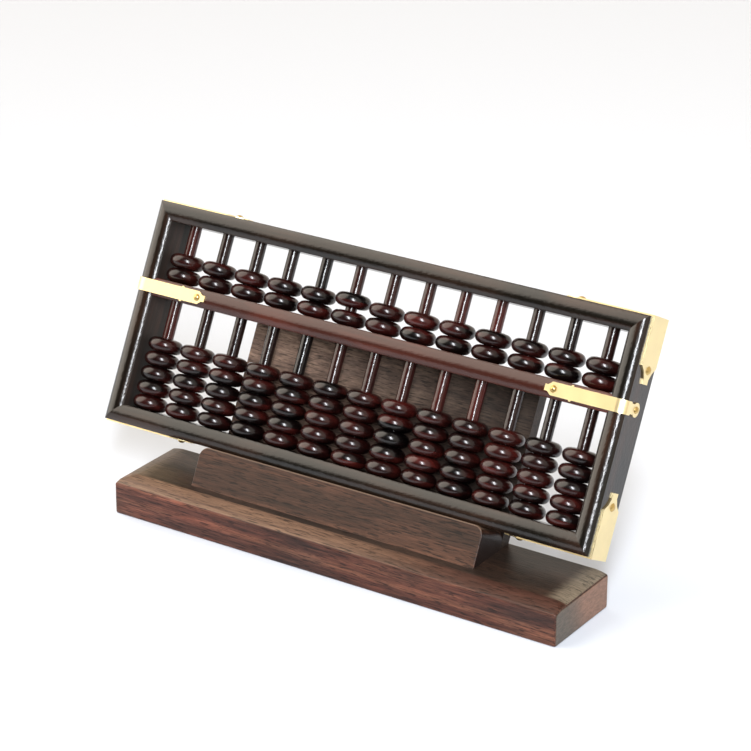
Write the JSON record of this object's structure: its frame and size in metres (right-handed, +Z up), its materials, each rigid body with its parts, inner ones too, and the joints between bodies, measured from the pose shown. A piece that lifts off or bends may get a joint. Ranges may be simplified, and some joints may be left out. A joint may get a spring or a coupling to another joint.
{
  "type": "abacus",
  "caption": "Dark lacquered rosewood bead frame with sliding beads on rods, brass corner mounts and a leaning wooden display stand.",
  "frame": {"origin": "centre of the stand base's underside", "axes": "+X right along the abacus, +Y to the back, +Z up; the abacus leans back 27 degrees about X"},
  "size_m": [0.2536, 0.0845, 0.122],
  "materials": {
    "frame_rosewood": "dark rosewood under a glossy lacquer",
    "rod_rosewood": "dark rosewood, polished",
    "bead_rosewood": "dark red-brown rosewood, polished to a high gloss",
    "stand_rosewood": "streaky red-brown rosewood, waxed",
    "brass": "bright polished sheet brass",
    "nail_brass": "golden brown brass nails"
  },
  "bodies": {
    "stand": {"stand_base": "stand_rosewood", "support_block": "stand_rosewood", "back_panel": "stand_rosewood"},
    "abacus": {"top_rail": "frame_rosewood", "bottom_rail": "frame_rosewood", "left_stile": "frame_rosewood", "right_stile": "frame_rosewood", "beam": "frame_rosewood", "rods": "rod_rosewood", "left_beam_strap": "brass", "right_beam_strap": "brass", "bottom_left_bracket": "brass", "bottom_right_bracket": "brass", "top_left_bracket": "brass", "top_right_bracket": "brass", "bracket_nails": "nail_brass", "strap_nails": "nail_brass"},
    "lower_heaven_bead_01": {"lower_heaven_bead_01": "bead_rosewood"},
    "upper_heaven_bead_01": {"upper_heaven_bead_01": "bead_rosewood"},
    "earth_beads_01": {"earth_beads_01": "bead_rosewood"},
    "lower_heaven_bead_02": {"lower_heaven_bead_02": "bead_rosewood"},
    "upper_heaven_bead_02": {"upper_heaven_bead_02": "bead_rosewood"},
    "earth_beads_02": {"earth_beads_02": "bead_rosewood"},
    "lower_heaven_bead_03": {"lower_heaven_bead_03": "bead_rosewood"},
    "upper_heaven_bead_03": {"upper_heaven_bead_03": "bead_rosewood"},
    "earth_beads_03": {"earth_beads_03": "bead_rosewood"},
    "lower_heaven_bead_04": {"lower_heaven_bead_04": "bead_rosewood"},
    "upper_heaven_bead_04": {"upper_heaven_bead_04": "bead_rosewood"},
    "earth_beads_04": {"earth_beads_04": "bead_rosewood"},
    "lower_heaven_bead_05": {"lower_heaven_bead_05": "bead_rosewood"},
    "upper_heaven_bead_05": {"upper_heaven_bead_05": "bead_rosewood"},
    "earth_beads_05": {"earth_beads_05": "bead_rosewood"},
    "lower_heaven_bead_06": {"lower_heaven_bead_06": "bead_rosewood"},
    "upper_heaven_bead_06": {"upper_heaven_bead_06": "bead_rosewood"},
    "earth_beads_06": {"earth_beads_06": "bead_rosewood"},
    "lower_heaven_bead_07": {"lower_heaven_bead_07": "bead_rosewood"},
    "upper_heaven_bead_07": {"upper_heaven_bead_07": "bead_rosewood"},
    "earth_beads_07": {"earth_beads_07": "bead_rosewood"},
    "lower_heaven_bead_08": {"lower_heaven_bead_08": "bead_rosewood"},
    "upper_heaven_bead_08": {"upper_heaven_bead_08": "bead_rosewood"},
    "earth_beads_08": {"earth_beads_08": "bead_rosewood"},
    "lower_heaven_bead_09": {"lower_heaven_bead_09": "bead_rosewood"},
    "upper_heaven_bead_09": {"upper_heaven_bead_09": "bead_rosewood"},
    "earth_beads_09": {"earth_beads_09": "bead_rosewood"},
    "lower_heaven_bead_10": {"lower_heaven_bead_10": "bead_rosewood"},
    "upper_heaven_bead_10": {"upper_heaven_bead_10": "bead_rosewood"},
    "earth_beads_10": {"earth_beads_10": "bead_rosewood"},
    "lower_heaven_bead_11": {"lower_heaven_bead_11": "bead_rosewood"},
    "upper_heaven_bead_11": {"upper_heaven_bead_11": "bead_rosewood"},
    "earth_beads_11": {"earth_beads_11": "bead_rosewood"},
    "lower_heaven_bead_12": {"lower_heaven_bead_12": "bead_rosewood"},
    "upper_heaven_bead_12": {"upper_heaven_bead_12": "bead_rosewood"},
    "earth_beads_12": {"earth_beads_12": "bead_rosewood"},
    "lower_heaven_bead_13": {"lower_heaven_bead_13": "bead_rosewood"},
    "upper_heaven_bead_13": {"upper_heaven_bead_13": "bead_rosewood"},
    "earth_beads_13": {"earth_beads_13": "bead_rosewood"}
  },
  "joints": [
    {"name": "lift_out", "type": "slide", "parent": "stand", "child": "abacus", "axis": [0, 0.454, 0.891], "range_m": [0, 0.075]},
    {"name": "lower_heaven_01", "type": "slide", "parent": "abacus", "child": "lower_heaven_bead_01", "axis": [0, 0.454, 0.891], "range_m": [0, 0.0129]},
    {"name": "upper_heaven_01", "type": "slide", "parent": "lower_heaven_bead_01", "child": "upper_heaven_bead_01", "axis": [0, -0.454, -0.891], "range_m": [-0.0129, 0]},
    {"name": "earth_01", "type": "slide", "parent": "abacus", "child": "earth_beads_01", "axis": [0, 0.454, 0.891], "range_m": [0, 0.0169]},
    {"name": "lower_heaven_02", "type": "slide", "parent": "abacus", "child": "lower_heaven_bead_02", "axis": [0, 0.454, 0.891], "range_m": [0, 0.0129]},
    {"name": "upper_heaven_02", "type": "slide", "parent": "lower_heaven_bead_02", "child": "upper_heaven_bead_02", "axis": [0, -0.454, -0.891], "range_m": [-0.0129, 0]},
    {"name": "earth_02", "type": "slide", "parent": "abacus", "child": "earth_beads_02", "axis": [0, 0.454, 0.891], "range_m": [0, 0.0169]},
    {"name": "lower_heaven_03", "type": "slide", "parent": "abacus", "child": "lower_heaven_bead_03", "axis": [0, 0.454, 0.891], "range_m": [0, 0.0129]},
    {"name": "upper_heaven_03", "type": "slide", "parent": "lower_heaven_bead_03", "child": "upper_heaven_bead_03", "axis": [0, -0.454, -0.891], "range_m": [-0.0129, 0]},
    {"name": "earth_03", "type": "slide", "parent": "abacus", "child": "earth_beads_03", "axis": [0, 0.454, 0.891], "range_m": [0, 0.0169]},
    {"name": "lower_heaven_04", "type": "slide", "parent": "abacus", "child": "lower_heaven_bead_04", "axis": [0, 0.454, 0.891], "range_m": [0, 0.0129]},
    {"name": "upper_heaven_04", "type": "slide", "parent": "lower_heaven_bead_04", "child": "upper_heaven_bead_04", "axis": [0, -0.454, -0.891], "range_m": [-0.0129, 0]},
    {"name": "earth_04", "type": "slide", "parent": "abacus", "child": "earth_beads_04", "axis": [0, 0.454, 0.891], "range_m": [0, 0.0169]},
    {"name": "lower_heaven_05", "type": "slide", "parent": "abacus", "child": "lower_heaven_bead_05", "axis": [0, 0.454, 0.891], "range_m": [0, 0.0129]},
    {"name": "upper_heaven_05", "type": "slide", "parent": "lower_heaven_bead_05", "child": "upper_heaven_bead_05", "axis": [0, -0.454, -0.891], "range_m": [-0.0129, 0]},
    {"name": "earth_05", "type": "slide", "parent": "abacus", "child": "earth_beads_05", "axis": [0, 0.454, 0.891], "range_m": [0, 0.0169]},
    {"name": "lower_heaven_06", "type": "slide", "parent": "abacus", "child": "lower_heaven_bead_06", "axis": [0, 0.454, 0.891], "range_m": [0, 0.0116]},
    {"name": "upper_heaven_06", "type": "slide", "parent": "lower_heaven_bead_06", "child": "upper_heaven_bead_06", "axis": [0, -0.454, -0.891], "range_m": [-0.0116, 0.0013]},
    {"name": "earth_06", "type": "slide", "parent": "abacus", "child": "earth_beads_06", "axis": [0, 0.454, 0.891], "range_m": [0, 0.0169]},
    {"name": "lower_heaven_07", "type": "slide", "parent": "abacus", "child": "lower_heaven_bead_07", "axis": [0, 0.454, 0.891], "range_m": [0, 0.0129]},
    {"name": "upper_heaven_07", "type": "slide", "parent": "lower_heaven_bead_07", "child": "upper_heaven_bead_07", "axis": [0, -0.454, -0.891], "range_m": [-0.0129, 0]},
    {"name": "earth_07", "type": "slide", "parent": "abacus", "child": "earth_beads_07", "axis": [0, 0.454, 0.891], "range_m": [0, 0.0169]},
    {"name": "lower_heaven_08", "type": "slide", "parent": "abacus", "child": "lower_heaven_bead_08", "axis": [0, 0.454, 0.891], "range_m": [0, 0.0129]},
    {"name": "upper_heaven_08", "type": "slide", "parent": "lower_heaven_bead_08", "child": "upper_heaven_bead_08", "axis": [0, -0.454, -0.891], "range_m": [-0.0129, 0]},
    {"name": "earth_08", "type": "slide", "parent": "abacus", "child": "earth_beads_08", "axis": [0, 0.454, 0.891], "range_m": [0, 0.0169]},
    {"name": "lower_heaven_09", "type": "slide", "parent": "abacus", "child": "lower_heaven_bead_09", "axis": [0, 0.454, 0.891], "range_m": [0, 0.0129]},
    {"name": "upper_heaven_09", "type": "slide", "parent": "lower_heaven_bead_09", "child": "upper_heaven_bead_09", "axis": [0, -0.454, -0.891], "range_m": [-0.0129, 0]},
    {"name": "earth_09", "type": "slide", "parent": "abacus", "child": "earth_beads_09", "axis": [0, 0.454, 0.891], "range_m": [0, 0.0169]},
    {"name": "lower_heaven_10", "type": "slide", "parent": "abacus", "child": "lower_heaven_bead_10", "axis": [0, 0.454, 0.891], "range_m": [0, 0.0129]},
    {"name": "upper_heaven_10", "type": "slide", "parent": "lower_heaven_bead_10", "child": "upper_heaven_bead_10", "axis": [0, -0.454, -0.891], "range_m": [-0.0129, 0]},
    {"name": "earth_10", "type": "slide", "parent": "abacus", "child": "earth_beads_10", "axis": [0, 0.454, 0.891], "range_m": [0, 0.0169]},
    {"name": "lower_heaven_11", "type": "slide", "parent": "abacus", "child": "lower_heaven_bead_11", "axis": [0, 0.454, 0.891], "range_m": [0, 0.0129]},
    {"name": "upper_heaven_11", "type": "slide", "parent": "lower_heaven_bead_11", "child": "upper_heaven_bead_11", "axis": [0, -0.454, -0.891], "range_m": [-0.0129, 0]},
    {"name": "earth_11", "type": "slide", "parent": "abacus", "child": "earth_beads_11", "axis": [0, 0.454, 0.891], "range_m": [0, 0.0169]},
    {"name": "lower_heaven_12", "type": "slide", "parent": "abacus", "child": "lower_heaven_bead_12", "axis": [0, 0.454, 0.891], "range_m": [0, 0.0129]},
    {"name": "upper_heaven_12", "type": "slide", "parent": "lower_heaven_bead_12", "child": "upper_heaven_bead_12", "axis": [0, -0.454, -0.891], "range_m": [-0.0129, 0]},
    {"name": "earth_12", "type": "slide", "parent": "abacus", "child": "earth_beads_12", "axis": [0, 0.454, 0.891], "range_m": [0, 0.0169]},
    {"name": "lower_heaven_13", "type": "slide", "parent": "abacus", "child": "lower_heaven_bead_13", "axis": [0, 0.454, 0.891], "range_m": [0, 0.0129]},
    {"name": "upper_heaven_13", "type": "slide", "parent": "lower_heaven_bead_13", "child": "upper_heaven_bead_13", "axis": [0, -0.454, -0.891], "range_m": [-0.0129, 0]},
    {"name": "earth_13", "type": "slide", "parent": "abacus", "child": "earth_beads_13", "axis": [0, 0.454, 0.891], "range_m": [0, 0.0169]}
  ]
}
